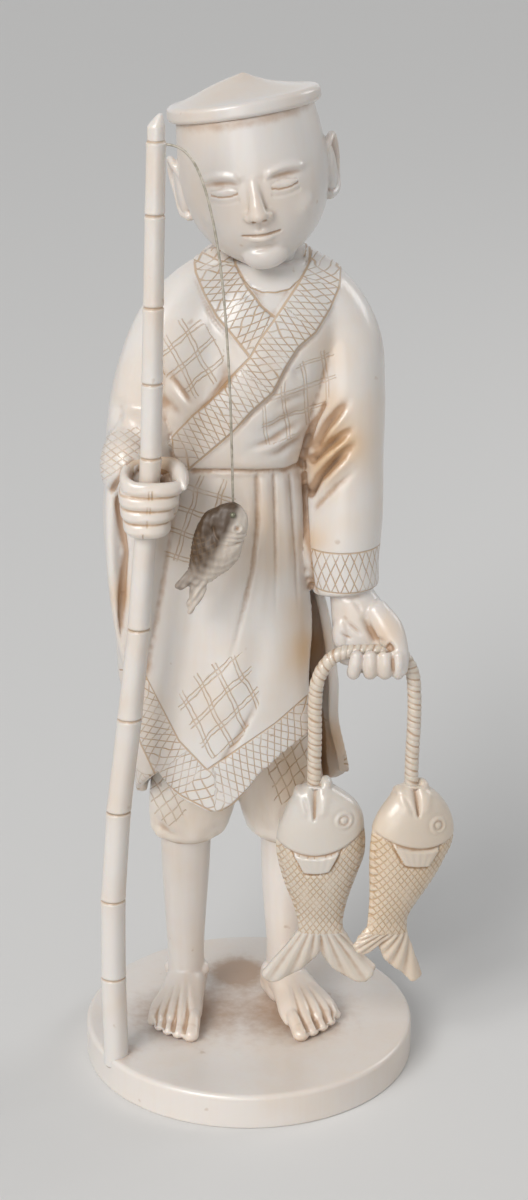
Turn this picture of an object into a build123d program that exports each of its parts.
"""A carved okimono of a standing fisherman, built up from separately carved pieces.

The figure stands on a round base. The right hand grips a bamboo rod with a wire line and a
small fish, and the left hand holds a carved rope with two larger fish. +X is the viewer's
right, -Y is towards the viewer and +Z is up. The origin is the centre of the base's underside.
All sizes are millimetres. Left and right are the figure's own, unless a comment says otherwise.
"""

import math
import os

from build123d import *

# Base disc
base_radius = 33.1
base_thickness = 7.3
base_top_round = 1.5
base_under_round = 0.5

# Pegs, tenons and the room for glue around them
glue_gap = 0.03
foot_peg_radius = 1.0
foot_peg_length = 8.0
foot_peg_depth = 4.0
knee_tenon_radius = 2.2
knee_tenon_height = 4.0
seat_peg_radius = 1.6
seat_peg_length = 8.0
seat_peg_depth = 4.0
hat_peg_radius = 1.2
hat_peg_length = 5.0
hat_peg_depth = 3.0
rod_peg_radius = 0.7
rod_peg_length = 6.0
rod_foot_peg_depth = 3.0

# Legs
shin_height = 38.3
shin_half_width = 4.6
shin_half_depth = 5.1
# each row: share of shin height, share of half width and share of half depth
shin_section_shares = [
    (0.06, 0.80, 0.92),
    (0.25, 0.80, 0.84),
    (0.50, 0.88, 0.92),
    (0.75, 0.98, 1.00),
    (1.00, 1.00, 1.00),
]
foot_length = 24.0
foot_half_width = 5.2
foot_height = 6.4
right_ankle_x = -12.9
left_ankle_x = 7.4
ankle_y = 5.0
heel_share = 0.29
right_toe_out = 9.0
left_toe_out = -20.0
# each row: share of foot length ahead of the heel, half width share and height share
foot_section_shares = [
    (0.00, 0.46, 0.52),
    (0.20, 0.74, 1.00),
    (0.40, 0.76, 1.06),
    (0.60, 0.90, 0.78),
    (0.80, 1.02, 0.56),
    (1.00, 0.76, 0.36),
]

# Breeches
breeches_height = 27.0
breeches_half_width = 9.0
breeches_half_depth = 7.2
right_breeches_top_x = -8.6
left_breeches_top_x = 3.6
# each row: share of height, share of half width, share of half depth, share of the way from
# the ankle's place to the place of the top
breeches_section_shares = [
    (0.00, 0.66, 0.72, 0.00),
    (0.10, 0.88, 0.90, 0.05),
    (0.32, 1.00, 1.00, 0.22),
    (0.60, 0.98, 1.00, 0.55),
    (1.00, 0.92, 0.96, 1.00),
]

# Robe, carved in one with both sleeves
hem_above_breeches_hem = 9.6
skirt_height = 74.0
torso_height = 35.6
robe_half_width = 21.0
robe_half_depth = 15.5
robe_wall = 2.0
# each row: share of skirt height, half width share, half depth share, middle x share of the
# half width and middle y share of the half depth
skirt_section_shares = [
    (0.0, 1.010, 0.98, -0.105, 0.09),
    (0.2, 0.957, 0.99, -0.148, 0.04),
    (0.4, 0.864, 0.97, -0.174, 0.01),
    (0.6, 0.760, 0.92, -0.155, 0.01),
    (0.8, 0.674, 0.85, -0.136, 0.02),
    (1.0, 0.614, 0.78, -0.124, 0.03),
]
torso_section_shares = [
    (0.0, 0.63, 0.82, -0.12, 0.03),
    (0.2, 0.70, 0.87, -0.10, 0.03),
    (0.4, 0.77, 0.88, -0.05, 0.04),
    (0.6, 0.82, 0.85, 0.02, 0.07),
    (0.8, 0.76, 0.75, 0.08, 0.12),
    (1.0, 0.42, 0.50, 0.17, 0.15),
]
belt_half_height = 1.7
belt_proud = 0.7
# the front panel's lower edge, from the figure's right to its left: share of robe half width
# and share of skirt height
front_hem_shares = [
    (-1.60, 0.52),
    (-1.12, 0.46),
    (-0.86, 0.30),
    (-0.60, 0.155),
    (-0.31, 0.075),
    (0.00, 0.125),
    (0.26, 0.195),
    (0.50, 0.265),
    (0.72, 0.36),
    (1.60, 0.46),
]
front_panel_back_share = -0.10
sleeve_length = 62.0
sleeve_half_width = 7.8
sleeve_half_depth = 8.6
# each row: share of the sleeve length up from the cuff, middle x share of robe half width,
# middle y share of robe half depth, half width share and half depth share
left_sleeve_shares = [
    (0.0, 0.885, -0.34, 0.80, 0.74),
    (0.2, 0.887, -0.25, 0.88, 0.84),
    (0.4, 0.885, -0.12, 0.97, 0.92),
    (0.6, 0.885, 0.02, 1.00, 0.97),
    (0.8, 0.820, 0.12, 0.92, 0.92),
    (1.0, 0.520, 0.17, 0.45, 0.50),
]
right_sleeve_drop = 83.0
# each row: share of the drop down from the shoulder, then as for the other sleeve
right_sleeve_shares = [
    (0.000, -0.370, 0.17, 0.46, 0.50),
    (0.125, -0.610, 0.16, 0.88, 0.88),
    (0.250, -0.760, 0.13, 0.97, 0.95),
    (0.375, -0.835, 0.00, 0.97, 1.00),
    (0.500, -0.920, -0.20, 1.03, 1.14),
    (0.625, -0.960, -0.19, 0.85, 1.10),
    (0.750, -0.990, -0.18, 0.67, 1.05),
    (0.875, -1.020, -0.17, 0.54, 0.96),
    (1.000, -1.075, -0.15, 0.33, 0.70),
]

# Head, neck and hat
neck_radius = 5.6
neck_x = 3.6
neck_y = 1.6
neck_socket_depth = 6.0
neck_above_robe = 1.6
head_tilt = 9.0
head_height = 26.4
head_half_width = 13.6
head_half_depth = 14.4
# each row: share of head height, half width share, half depth share, middle y share
head_section_shares = [
    (0.0, 0.48, 0.50, -0.20),
    (0.2, 0.83, 0.86, -0.10),
    (0.4, 0.965, 0.97, -0.04),
    (0.6, 1.00, 1.00, 0.00),
    (0.8, 0.975, 0.985, 0.01),
    (1.0, 0.915, 0.93, 0.01),
]
nose_length = 7.0
nose_half_width = 2.1
nose_reach = 2.0
nose_height_share = 0.36
ear_height = 10.8
ear_depth = 5.2
ear_reach = 1.9
ear_thickness = 1.8
ear_height_share = 0.48
ear_splay = 14.0
hat_radius = 13.9
hat_rim_thickness = 2.7
hat_cone_height = 3.4
hat_rim_round = 0.9

# Right hand, a fist round the rod
grip_x = -17.7
grip_y = -21.0
grip_below_shoulder = 41.0
finger_thickness = 3.3
finger_count = 4
fist_clearance = 0.75
finger_wall = 3.0
palm_wall = 3.4
# sizes of the fingers from the lowest to the highest, as shares
finger_width_shares = [0.82, 0.91, 0.98, 1.03]
finger_waist_share = 0.86
thumb_radius = 1.9
thumb_rise = 0.6
right_wrist_radius = 3.3
right_wrist_inset = 5.5
right_wrist_x = -19.2
right_sleeve_mouth_y = -13.0

# Bamboo rod, in three sections
rod_foot_inset = 2.3
rod_foot_bearing = 212.4
rod_foot_radius = 2.4
rod_tip_radius = 1.72
rod_tip_point_height = 3.4
rod_tip_x = -15.6
rod_tip_y = -22.5
rod_tip_above_hat = -2.4
rod_groove_depth = 0.22
rod_groove_half_height = 0.30
# each row: share of the height from the foot to the grip, and share of the lean between them
lower_rod_shares = [
    (0.00, 0.00),
    (0.135, -0.02),
    (0.285, 0.02),
    (0.455, 0.16),
    (0.625, 0.44),
    (0.790, 0.70),
]
# shares of the height from the grip to the tip
upper_rod_shares = [0.115, 0.30, 0.50, 0.745]
rod_lower_nodes = 3
rod_middle_nodes = 3

# Wire line with its bead, and the small fish on it
line_radius = 0.23
line_hole_gap = 0.05
line_below_tip = 5.3
line_root_length = 1.2
# route of the line, from the rod to behind the fish's lip, as steps from the rod's axis:
# across, back and up
line_route = [
    (0.0, 0.0, 0.0),
    (3.1, 0.0, 0.0),
    (5.9, 0.0, -1.9),
    (8.1, 0.0, -6.3),
    (9.9, 0.0, -13.6),
    (11.3, 0.0, -23.0),
    (12.2, 0.0, -34.5),
    (12.8, 0.0, -48.0),
    (13.1, 1.9, -67.4),
]
line_pin_length = 4.0
line_bend_radius = 0.5
bead_radius = 0.55
hooked_fish_length = 20.0
hooked_fish_width = 8.6
hooked_fish_thickness = 6.0
hooked_fish_tilt = 27.0
hooked_tail_spread_share = 0.55
lip_below_top = 1.5
lip_thickness = 2.4
lip_depth = 3.0
bead_gap = 0.25

# Left hand and the rope through it
left_wrist_radius = 3.0
left_wrist_inset = 4.0
hand_drop = 17.0
hand_half_width = 5.9
hand_half_depth = 3.8
hand_lean = 6.0
hand_forward = 4.2
# each row: share of the drop below the cuff, half width share, half depth share, share of lean
hand_section_shares = [
    (0.00, 0.60, 0.88, 0.10),
    (0.30, 0.76, 0.92, 0.34),
    (0.55, 0.98, 0.98, 0.72),
    (0.78, 1.00, 1.06, 0.98),
    (0.94, 0.90, 0.92, 1.00),
    (1.00, 0.70, 0.60, 1.00),
]
rope_radius = 1.45
rope_level_share = 0.76
rope_forward = 2.7
knuckle_radius = 1.5
knuckle_length = 6.4
knuckle_pitch = 2.95
knuckle_forward = 3.3
rope_drop = 27.0
near_rope_reach = 5.2
near_rope_bend = 4.6
far_rope_reach = 1.8
far_rope_bend = 1.75
rope_sink = 3.0

# The two fish on the rope
fish_length = 39.0
fish_width = 16.8
fish_thickness = 9.0
near_tail_spread_share = 0.84
far_tail_spread_share = 0.60
far_fish_turn = -22.0
far_fish_lean = 8.5
near_fish_lean = 0.5
# each row: share of the length down from the mouth, width share, thickness share, and the
# sideways shift of the middle as a share of the width
fish_section_shares = [
    (0.000, 0.30, 0.42, 0.00),
    (0.030, 0.46, 0.58, 0.01),
    (0.110, 0.76, 0.84, 0.03),
    (0.230, 0.96, 1.00, 0.05),
    (0.350, 1.00, 1.00, 0.06),
    (0.480, 0.88, 0.88, 0.05),
    (0.620, 0.66, 0.66, 0.04),
    (0.740, 0.47, 0.44, 0.03),
]
fish_tail_root_share = 0.70
fish_tail_thickness_share = 0.22
# half of the forked tail: across as a share of the width, down as a share of the length
fish_tail_shares = [
    (0.00, 0.700),
    (0.20, 0.700),
    (0.24, 0.780),
    (0.42, 0.880),
    (0.64, 0.945),
    (0.66, 1.000),
    (0.50, 1.000),
    (0.28, 0.965),
    (0.00, 0.880),
]

# Outlines are splines through this many points, and cuts run past a face by the overrun
outline_points = 8
overrun = 1.0

# Heights that the pieces share
base_top = base_thickness
breeches_hem = base_top + shin_height
seat_level = breeches_hem + breeches_height
robe_hem = breeches_hem + hem_above_breeches_hem
belt_level = robe_hem + skirt_height
shoulder_level = belt_level + torso_height
neck_socket_level = shoulder_level - neck_socket_depth
head_pivot = Vector(neck_x, neck_y, shoulder_level + neck_above_robe)
cuff_level = shoulder_level - sleeve_length
grip_level = shoulder_level - grip_below_shoulder


def oval(half_width, half_height):
    """A closed oval edge in the XY plane, through points at even angles."""
    points = []
    for step in range(outline_points):
        angle = 2 * math.pi * step / outline_points
        points.append(Vector(half_width * math.cos(angle), half_height * math.sin(angle)))
    return Face(Wire([Edge.make_spline(points, periodic=True)]))


def outline(x, y, z, half_width, half_depth):
    """A closed, level oval round a middle point."""
    return Location((x, y, z)) * oval(half_width, half_depth)


def stack(sections, ruled=False):
    """A solid through level oval outlines, given from one end to the other."""
    return loft([outline(*section) for section in sections], ruled=ruled)


def rod_between(start, end, radius):
    """A plain round bar from one point to another."""
    axis = Vector(*end) - Vector(*start)
    return Plane(origin=Vector(*start), z_dir=axis) * Cylinder(
        radius, axis.length, align=(Align.CENTER, Align.CENTER, Align.MIN)
    )


def upright(x, y, bottom, top, radius):
    """A plain upright bar between two heights."""
    return rod_between((x, y, bottom), (x, y, top), radius)


def make_base():
    """The turned disc, with blind holes for the foot pegs and the rod's peg."""
    disc = Cylinder(base_radius, base_thickness, align=(Align.CENTER, Align.CENTER, Align.MIN))
    disc = fillet(disc.edges().sort_by(Axis.Z)[-1], base_top_round)
    disc = fillet(disc.edges().sort_by(Axis.Z)[0], base_under_round)
    for x in (right_ankle_x, left_ankle_x):
        disc -= upright(x, ankle_y, base_top - foot_peg_depth, base_top + overrun, foot_peg_radius + glue_gap)
    x, y, _ = rod_foot_point()
    disc -= upright(x, y, base_top - rod_foot_peg_depth, base_top + overrun, rod_peg_radius + glue_gap)
    return disc


def make_foot_pegs():
    """Two dowels that pin the feet to the base."""
    bottom = base_top - foot_peg_depth
    return [upright(x, ankle_y, bottom, bottom + foot_peg_length, foot_peg_radius)
            for x in (right_ankle_x, left_ankle_x)]


def make_leg(ankle_x, toe_out):
    """A bare foot and shin, with a round tenon on top for the breeches."""
    # each oval's widest line lies on the ground, and its lower half is cut away
    foot = loft([
        Plane((0, (heel_share - along) * foot_length, 0), x_dir=(1, 0, 0), z_dir=(0, -1, 0))
        * oval(across * foot_half_width, tall * foot_height)
        for along, across, tall in foot_section_shares
    ])
    ground = 2 * foot_length
    foot -= Box(ground, ground, ground, align=(Align.CENTER, Align.CENTER, Align.MAX))
    leg = Location((ankle_x, ankle_y, base_top)) * (Rotation(0, 0, -toe_out) * foot)
    leg += stack([
        (ankle_x, ankle_y, base_top + height * shin_height, width * shin_half_width, depth * shin_half_depth)
        for height, width, depth in shin_section_shares
    ])
    leg += upright(ankle_x, ankle_y, breeches_hem - overrun, breeches_hem + knee_tenon_height, knee_tenon_radius)
    leg -= upright(ankle_x, ankle_y, base_top - overrun, base_top - foot_peg_depth + foot_peg_length + glue_gap,
                   foot_peg_radius + glue_gap)
    return leg


def make_breeches():
    """Both legs of the gathered breeches, joined at the seat, with the holes for the tenons."""
    legs = []
    for ankle_x, top_x in ((right_ankle_x, right_breeches_top_x), (left_ankle_x, left_breeches_top_x)):
        legs.append(stack([
            (
                ankle_x + (top_x - ankle_x) * way,
                ankle_y - (ankle_y - neck_y) * way,
                breeches_hem + height * breeches_height,
                width * breeches_half_width,
                depth * breeches_half_depth,
            )
            for height, width, depth, way in breeches_section_shares
        ]))
    breeches = legs[0] + legs[1]
    for ankle_x in (right_ankle_x, left_ankle_x):
        breeches -= upright(ankle_x, ankle_y, breeches_hem - overrun,
                            breeches_hem + knee_tenon_height + glue_gap, knee_tenon_radius + glue_gap)
    x, y = seat_place()
    breeches -= upright(x, y, seat_level - seat_peg_depth, seat_level + overrun, seat_peg_radius + glue_gap)
    return breeches


def seat_place():
    """Where the seat peg stands, midway between the tops of the breeches' legs."""
    return (right_breeches_top_x + left_breeches_top_x) / 2, neck_y


def robe_sections(shares, bottom, height, inset=0.0):
    """Level sections of the robe's body between two heights, drawn in by an inset."""
    return [
        (
            x * robe_half_width,
            y * robe_half_depth,
            bottom + level * height,
            width * robe_half_width - inset,
            depth * robe_half_depth - inset,
        )
        for level, width, depth, x, y in shares
    ]


def sleeve_sections(shares, start, travel):
    """Level sections of a sleeve, from a starting height along an upward or downward travel."""
    return [
        (
            x * robe_half_width,
            y * robe_half_depth,
            start + level * travel,
            width * sleeve_half_width,
            depth * sleeve_half_depth,
        )
        for level, x, y, width, depth in shares
    ]


def make_robe():
    """The robe from its hem to the shoulders, hollow under the skirt, with both sleeves."""
    skirt = stack(robe_sections(skirt_section_shares, robe_hem, skirt_height))
    hollow = robe_sections(skirt_section_shares, robe_hem, skirt_height, robe_wall)
    hollow[0] = (hollow[0][0], hollow[0][1], robe_hem - overrun, *hollow[0][3:])
    reach = robe_half_width + robe_half_depth + overrun
    skirt -= stack(hollow) & Plane((0, 0, robe_hem - overrun)) * Box(
        2 * reach, 2 * reach, seat_level - robe_hem + overrun, align=(Align.CENTER, Align.CENTER, Align.MIN)
    )
    points = [(x * robe_half_width, robe_hem + z * skirt_height) for x, z in front_hem_shares]
    low = robe_hem - overrun
    points += [(points[-1][0], low), (points[0][0], low)]
    edge = Plane.XZ.offset(-front_panel_back_share * robe_half_depth) * make_face(Polyline(*points, close=True))
    skirt -= extrude(edge, reach)

    _, width, depth, x, y = skirt_section_shares[-1]
    belt = [
        (
            x * robe_half_width,
            y * robe_half_depth,
            belt_level + side * belt_half_height,
            width * robe_half_width + belt_proud,
            depth * robe_half_depth + belt_proud,
        )
        for side in (-1, 1)
    ]
    robe = skirt + stack(robe_sections(torso_section_shares, belt_level, torso_height)) + stack(belt)
    robe += stack(sleeve_sections(left_sleeve_shares, cuff_level, sleeve_length))
    robe += stack(sleeve_sections(right_sleeve_shares, shoulder_level, -right_sleeve_drop))

    x, y = seat_place()
    robe -= upright(x, y, seat_level - overrun, seat_level - seat_peg_depth + seat_peg_length + glue_gap,
                    seat_peg_radius + glue_gap)
    robe -= upright(neck_x, neck_y, neck_socket_level, shoulder_level + overrun, neck_radius + glue_gap)
    robe -= rod_between(right_wrist_end(), right_grip_point(), right_wrist_radius + glue_gap)
    x, y = cuff_middle()
    robe -= upright(x, y, cuff_level - overrun, cuff_level + left_wrist_inset + glue_gap, left_wrist_radius + glue_gap)
    return robe


def make_seat_peg():
    """The dowel between the breeches and the robe."""
    x, y = seat_place()
    bottom = seat_level - seat_peg_depth
    return upright(x, y, bottom, bottom + seat_peg_length, seat_peg_radius)


def on_head(shape):
    """Puts a shape made about the head's own upright axis at the neck, with the head's tilt."""
    return Location(head_pivot) * Rotation(0, -head_tilt, 0) * shape


def make_head():
    """The head with its ears and nose, on a neck that plugs into the robe."""
    skull = stack([
        (
            0,
            middle * head_half_depth,
            height * head_height,
            width * head_half_width,
            depth * head_half_depth,
        )
        for height, width, depth, middle in head_section_shares
    ])
    nose_z = nose_height_share * head_height
    face_y = -head_half_depth * head_section_shares[2][2]
    skull += stack([
        (0, face_y + nose_reach, nose_z + nose_length, nose_half_width / 2, nose_reach),
        (0, face_y + nose_reach / 2, nose_z + nose_length / 2, nose_half_width * 3 / 4, nose_reach * 3 / 2),
        (0, face_y, nose_z, nose_half_width, nose_reach * 3 / 2),
    ])
    ear_z = ear_height_share * head_height
    root = Plane((-ear_reach, 0, 0), x_dir=(0, 1, 0), z_dir=(1, 0, 0)) * oval(ear_thickness, ear_height / 2)
    rim = Plane((ear_reach, ear_depth / 4, 0), x_dir=(0, 1, 0), z_dir=(1, 0, 0)) * oval(ear_depth / 2, ear_height / 2)
    ear = Location((head_half_width, 0, ear_z)) * (Rotation(0, ear_splay, 0) * loft([root, rim]))
    skull += ear
    skull += mirror(ear, Plane.YZ)
    skull -= Plane((0, 0, head_height)) * Cylinder(
        head_half_width * 2, head_half_depth, align=(Align.CENTER, Align.CENTER, Align.MIN)
    )
    skull -= upright(0, 0, head_height - hat_peg_depth, head_height + overrun, hat_peg_radius + glue_gap)
    neck = upright(neck_x, neck_y, neck_socket_level, head_pivot.Z + head_height / 4, neck_radius)
    return on_head(skull) + neck


def make_hat():
    """The flat cap: a thick rim with a low rounded cone, seated on the crown of the head."""
    bottom = head_height
    rim = bottom + hat_rim_thickness
    top = rim + hat_cone_height
    low_round = CenterArc((hat_radius - hat_rim_round, bottom + hat_rim_round), hat_rim_round, -90, 90)
    high_round = CenterArc((hat_radius - hat_rim_round, rim - hat_rim_round), hat_rim_round, 0, 90)
    side = Line(low_round @ 1, high_round @ 0)
    slope = Spline(high_round @ 1, (0, top), tangents=[(-hat_radius, hat_cone_height), (-1, 0)])
    face = make_face(Curve() + [
        Line((0, bottom), low_round @ 0), low_round, side, high_round, slope, Line((0, top), (0, bottom))
    ])
    hat = revolve(Plane.XZ * face, Axis.Z)
    hat -= upright(0, 0, bottom - overrun, bottom - hat_peg_depth + hat_peg_length + glue_gap,
                   hat_peg_radius + glue_gap)
    return on_head(hat)


def make_hat_peg():
    """The dowel under the hat."""
    bottom = head_height - hat_peg_depth
    return on_head(upright(0, 0, bottom, bottom + hat_peg_length, hat_peg_radius))


def hat_peak_level():
    """The height of the hat's peak, with the head's tilt."""
    return head_pivot.Z + (head_height + hat_rim_thickness + hat_cone_height) * math.cos(math.radians(head_tilt))


def rod_foot_point():
    """Where the rod's axis meets the top of the base."""
    reach = base_radius - rod_foot_inset
    bearing = math.radians(rod_foot_bearing)
    return reach * math.cos(bearing), reach * math.sin(bearing), base_top


def right_grip_point():
    """The middle of the fist, where the rod passes through it."""
    return grip_x, grip_y, grip_level


def rod_tip_point():
    """The top of the rod's straight part, level with the hat."""
    return rod_tip_x, rod_tip_y, hat_peak_level() + rod_tip_above_hat - rod_tip_point_height


def rod_points():
    """The rod's nodes from the foot to the tip, each as x, y, z and radius."""
    foot = rod_foot_point()
    grip = right_grip_point()
    tip = rod_tip_point()
    places = [
        (
            foot[0] + (grip[0] - foot[0]) * lean,
            foot[1] + (grip[1] - foot[1]) * height,
            foot[2] + (grip[2] - foot[2]) * height,
        )
        for height, lean in lower_rod_shares
    ]
    places += [
        tuple(low + (high - low) * share for low, high in zip(grip, tip)) for share in upper_rod_shares
    ]
    places.append(tip)
    rise = tip[2] - foot[2]
    return [
        (*place, rod_foot_radius + (rod_tip_radius - rod_foot_radius) * (place[2] - foot[2]) / rise)
        for place in places
    ]


def rod_axis_at(level):
    """The rod's axis point and radius at a height."""
    places = rod_points()
    for low, high in zip(places, places[1:]):
        if level <= high[2]:
            break
    share = (level - low[2]) / (high[2] - low[2])
    return tuple(a + (b - a) * share for a, b in zip(low, high))


def make_rod_section(first, last):
    """One section of the rod, with a groove at each node inside it."""
    places = rod_points()[first:last + 1]
    rings = [places[0]]
    for low, middle, high in zip(places, places[1:], places[2:]):
        x, y, z, radius = middle
        below = (z - low[2])
        above = (high[2] - z)
        down = rod_groove_half_height / below
        up = rod_groove_half_height / above
        rings.append((x + (low[0] - x) * down, y + (low[1] - y) * down, z - rod_groove_half_height, radius))
        rings.append((x, y, z, radius - rod_groove_depth))
        rings.append((x + (high[0] - x) * up, y + (high[1] - y) * up, z + rod_groove_half_height, radius))
    rings.append(places[-1])
    return loft([Plane((x, y, z)) * Circle(radius) for x, y, z, radius in rings], ruled=True)


def rod_sections():
    """The first and last node of each section, from the foot up."""
    middle = rod_lower_nodes
    upper = middle + rod_middle_nodes - 1
    return [(0, middle), (middle, upper), (upper, len(rod_points()) - 1)]


def rod_peg_places():
    """The lower end of each peg in the rod, from the foot up."""
    places = rod_points()
    foot = rod_foot_point()
    pegs = [(foot[0], foot[1], base_top - rod_foot_peg_depth)]
    for first, _ in rod_sections()[1:]:
        x, y, z, _ = places[first]
        pegs.append((x, y, z - rod_peg_length / 2))
    return pegs


def make_rod():
    """The three sections of the rod, each drilled for its pegs, the top one cut to a point."""
    sections = [make_rod_section(first, last) for first, last in rod_sections()]
    x, y, z, radius = rod_points()[-1]
    point = loft([
        Plane((x, y, z)) * Circle(radius),
        Plane((x + radius / 2, y, z + rod_tip_point_height)) * Circle(radius / 4),
    ])
    sections[-1] += point
    for number, (px, py, pz) in enumerate(rod_peg_places()):
        hole = upright(px, py, pz - glue_gap, pz + rod_peg_length + glue_gap, rod_peg_radius + glue_gap)
        sections[number] -= hole
        if number:
            sections[number - 1] -= hole
    root = line_root_point()
    sections[-1] -= rod_between(root, (root[0] + rod_foot_radius * 2, root[1], root[2]), line_radius + line_hole_gap)
    return sections


def make_rod_pegs():
    """The peg in the base and the two pegs between the sections."""
    return [upright(x, y, z, z + rod_peg_length, rod_peg_radius) for x, y, z in rod_peg_places()]


def line_exit_axis():
    """The point on the rod's axis at the height of the line's hole."""
    return rod_axis_at(rod_tip_point()[2] + rod_tip_point_height - line_below_tip)


def line_root_point():
    """Where the line begins, inside the rod."""
    x, y, z, radius = line_exit_axis()
    return x + radius - line_root_length, y, z


def line_points():
    """The corners of the line's route, from its root in the rod to the pin's height."""
    x, y, z, _ = line_exit_axis()
    points = [line_root_point()]
    points += [(x + a, y + b, z + c) for a, b, c in line_route[1:]]
    return points


def pin_axis_point():
    """Where the line turns forward, from its drop into the pin."""
    return line_points()[-1]


def pin_end_point():
    """The front end of the pin, at the middle of the bead."""
    x, y, z = pin_axis_point()
    return x, y - line_pin_length, z


def make_line():
    """The wire line: out of the rod, down behind the fish, and forward through its lip."""
    points = [Vector(*p) for p in line_points() + [pin_end_point()]]
    radii = []
    for before, corner, after in zip(points, points[1:], points[2:]):
        into = corner - before
        out = after - corner
        turn = math.radians(into.get_angle(out))
        radii.append(0.45 * min(into.length, out.length) / math.tan(turn / 2))
    radii[-1] = line_bend_radius
    route = FilletPolyline(*points, radius=radii)
    section = Plane(origin=route @ 0, z_dir=route % 0) * Circle(line_radius)
    wire = sweep(section, path=route)
    print("line length", round(route.length, 2), "least radius", round(min(radii), 2))
    print("line volume over section times length", round(wire.volume / (math.pi * line_radius**2 * route.length), 4))
    return wire


def make_bead():
    """The bead on the line's end, which keeps the fish on the pin."""
    return Location(pin_end_point()) * Sphere(bead_radius) - rod_between(
        pin_axis_point(), pin_end_point(), line_radius
    )


def make_fish(length, width, thickness, tail_spread):
    """A fish that hangs by its mouth: an oval body and a flat forked tail, along its own -Z."""
    body = stack([
        (
            shift * width,
            0,
            -down * length,
            across * width / 2,
            deep * thickness / 2,
        )
        for down, across, deep, shift in fish_section_shares
    ])
    shift = fish_section_shares[-1][3] * width
    half = [(across * width * tail_spread, -down * length) for across, down in fish_tail_shares]
    outline_shape = [(shift + x, z) for x, z in half] + [(shift - x, z) for x, z in half[-2:0:-1]]
    tail_thickness = fish_tail_thickness_share * thickness
    tail = Plane.XZ.offset(-tail_thickness / 2) * make_face(Polyline(*outline_shape, close=True))
    return body + extrude(tail, tail_thickness)


def make_hooked_fish():
    """The small fish on the line, hung from a hole through its flattened lip."""
    x, y, z = pin_end_point()
    fish = make_fish(hooked_fish_length, hooked_fish_width, hooked_fish_thickness, hooked_tail_spread_share)
    block = hooked_fish_width + hooked_fish_thickness
    for side, align in ((1, Align.MIN), (-1, Align.MAX)):
        fish -= Plane((0, side * lip_thickness / 2, -lip_depth)) * Box(
            block, block, block, align=(Align.CENTER, align, Align.MIN)
        )
    hole = rod_between((0, -block, -lip_below_top), (0, block, -lip_below_top), line_radius + line_hole_gap)
    fish = Location((0, 0, lip_below_top)) * (fish - hole)
    lip_front = y + bead_radius + bead_gap
    return Location((x, lip_front + lip_thickness / 2, z)) * (Rotation(0, hooked_fish_tilt, 0) * fish)


def cuff_middle():
    """The middle of the left cuff's lower face."""
    _, x, y, _, _ = left_sleeve_shares[0]
    return x * robe_half_width, y * robe_half_depth


def right_wrist_end():
    """The inner end of the right wrist, inside the sleeve."""
    return right_wrist_x, right_sleeve_mouth_y + right_wrist_inset, grip_level


def make_right_hand():
    """The fist round the rod: four fingers stacked as rings, and a wrist that goes into the sleeve."""
    _, _, _, rod_radius = rod_axis_at(grip_level)
    bore = rod_radius + fist_clearance
    half_width = bore + finger_wall
    half_depth = bore + palm_wall
    bottom = grip_level - finger_count * finger_thickness / 2
    sections = []
    for number, share in enumerate(finger_width_shares):
        low = bottom + number * finger_thickness
        waist = share * finger_waist_share
        sections.append((grip_x, grip_y, low, waist * half_width, waist * half_depth))
        sections.append((grip_x, grip_y, low + finger_thickness / 2, share * half_width, share * half_depth))
    top = bottom + finger_count * finger_thickness
    sections.append((grip_x, grip_y, top, finger_waist_share * half_width, finger_waist_share * half_depth))
    fist = stack(sections, ruled=True)
    fist += rod_between(right_wrist_end(), right_grip_point(), right_wrist_radius)
    side = grip_x + bore + finger_wall / 2
    knuckle = (side, grip_y + bore, top - thumb_radius)
    tip = (side, grip_y - bore, top + thumb_rise)
    fist += rod_between(knuckle, tip, thumb_radius)
    for place in (knuckle, tip):
        fist += Location(place) * Sphere(thumb_radius)
    low = rod_axis_at(bottom - overrun)[:3]
    high = rod_axis_at(top + overrun)[:3]
    return fist - rod_between(low, high, bore)


def left_hand_place(share, lean):
    """The middle of the left hand at a share of its drop below the cuff."""
    x, y = cuff_middle()
    return x + lean * hand_lean, y - share * hand_forward, cuff_level - share * hand_drop


def rope_line():
    """The y and z of the rope where it crosses the left palm."""
    _, y, z = left_hand_place(rope_level_share, 1)
    return y - rope_forward, z


def make_left_hand():
    """The open hand with curled fingers, drilled for the rope, with a tenon for the cuff."""
    hand = stack([
        (*left_hand_place(share, lean), width * hand_half_width, depth * hand_half_depth)
        for share, width, depth, lean in hand_section_shares
    ])
    x, y = cuff_middle()
    hand += upright(x, y, cuff_level - overrun, cuff_level + left_wrist_inset, left_wrist_radius)
    middle_x, hand_y, _ = left_hand_place(1, 1)
    _, rope_z = rope_line()
    finger_y = hand_y - knuckle_forward
    for number in range(finger_count):
        finger_x = middle_x + (number - (finger_count - 1) / 2) * knuckle_pitch
        low = rope_z - knuckle_length * 0.62
        hand += stack([
            (finger_x, finger_y, low, knuckle_radius * 0.62, knuckle_radius),
            (finger_x, finger_y, low + knuckle_length * 0.2, knuckle_radius, knuckle_radius * 2),
            (finger_x, finger_y, low + knuckle_length * 0.8, knuckle_radius, knuckle_radius * 1.7),
            (finger_x, finger_y, low + knuckle_length, knuckle_radius * 0.62, knuckle_radius),
        ])
    y, z = rope_line()
    start, end = rope_ends()
    hand -= rod_between((start - overrun, y, z), (end + overrun, y, z), rope_radius + glue_gap)
    return hand


def rope_ends():
    """Where the rope comes out of the hand, on the side of the body and on the outer side."""
    middle_x, _, _ = left_hand_place(1, 1)
    return middle_x - hand_half_width - rope_radius / 2, middle_x + hand_half_width


def make_rope_grip():
    """The stretch of rope inside the closed fingers."""
    start, end = rope_ends()
    y, z = rope_line()
    return rod_between((start, y, z), (end, y, z), rope_radius)


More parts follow.
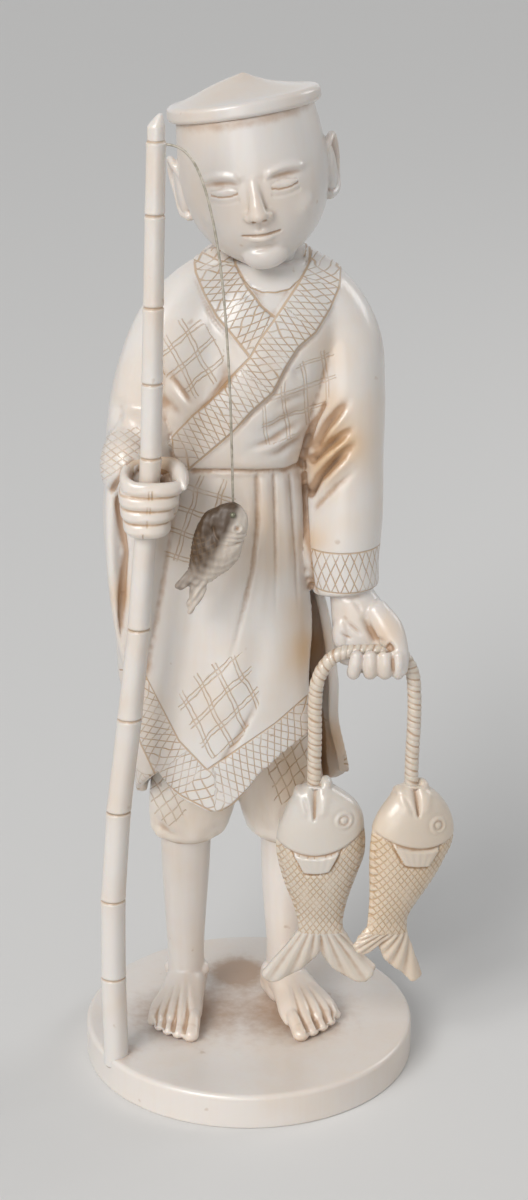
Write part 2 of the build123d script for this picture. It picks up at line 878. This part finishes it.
def make_rope_leg(start_x, reach, bend):
    """A hanging leg of the rope, from the hand's side to inside a fish's mouth."""
    y, z = rope_line()
    foot = Vector(start_x + reach, y, z - rope_drop - rope_sink)
    route = FilletPolyline(Vector(start_x, y, z), Vector(start_x + reach, y, z), foot, radius=bend)
    section = Plane(origin=route @ 0, z_dir=route % 0) * Circle(rope_radius)
    return sweep(section, path=route)


def make_rope_fish(start_x, reach, lean, turn, tail_spread):
    """A fish on one leg of the rope, with the socket for the rope in its mouth."""
    y, z = rope_line()
    x = start_x + reach
    mouth = z - rope_drop
    fish = make_fish(fish_length, fish_width, fish_thickness, tail_spread)
    fish = Location((x, y, mouth)) * (Rotation(0, lean, 0) * (Rotation(0, 0, turn) * fish))
    return fish - upright(x, y, mouth - rope_sink - glue_gap, mouth + rope_drop, rope_radius + glue_gap)


def build():
    """Every node with its solids."""
    rope_start, rope_end = rope_ends()
    rod = make_rod()
    return {
        "base_disc": make_base(),
        "foot_pegs": make_foot_pegs(),
        "right_leg": make_leg(right_ankle_x, right_toe_out),
        "left_leg": make_leg(left_ankle_x, left_toe_out),
        "breeches": make_breeches(),
        "seat_peg": make_seat_peg(),
        "robe": make_robe(),
        "head": make_head(),
        "hat": make_hat(),
        "hat_peg": make_hat_peg(),
        "right_hand": make_right_hand(),
        "rod_lower": rod[0],
        "rod_middle": rod[1],
        "rod_upper": rod[2],
        "rod_pegs": make_rod_pegs(),
        "fishing_line": make_line(),
        "line_bead": make_bead(),
        "hooked_fish": make_hooked_fish(),
        "left_hand": make_left_hand(),
        "rope_grip": make_rope_grip(),
        "near_rope": make_rope_leg(rope_start, -near_rope_reach, near_rope_bend),
        "far_rope": make_rope_leg(rope_end, far_rope_reach, far_rope_bend),
        "near_fish": make_rope_fish(rope_start, -near_rope_reach, near_fish_lean, 0, near_tail_spread_share),
        "far_fish": make_rope_fish(rope_end, far_rope_reach, far_fish_lean, far_fish_turn, far_tail_spread_share),
    }


os.makedirs("parts", exist_ok=True)
for name, shape in build().items():
    solids = shape if isinstance(shape, list) else [shape]
    solids = [solid for piece in solids for solid in piece.solids()]
    export_step(Compound(children=solids), f"parts/{name}.step")
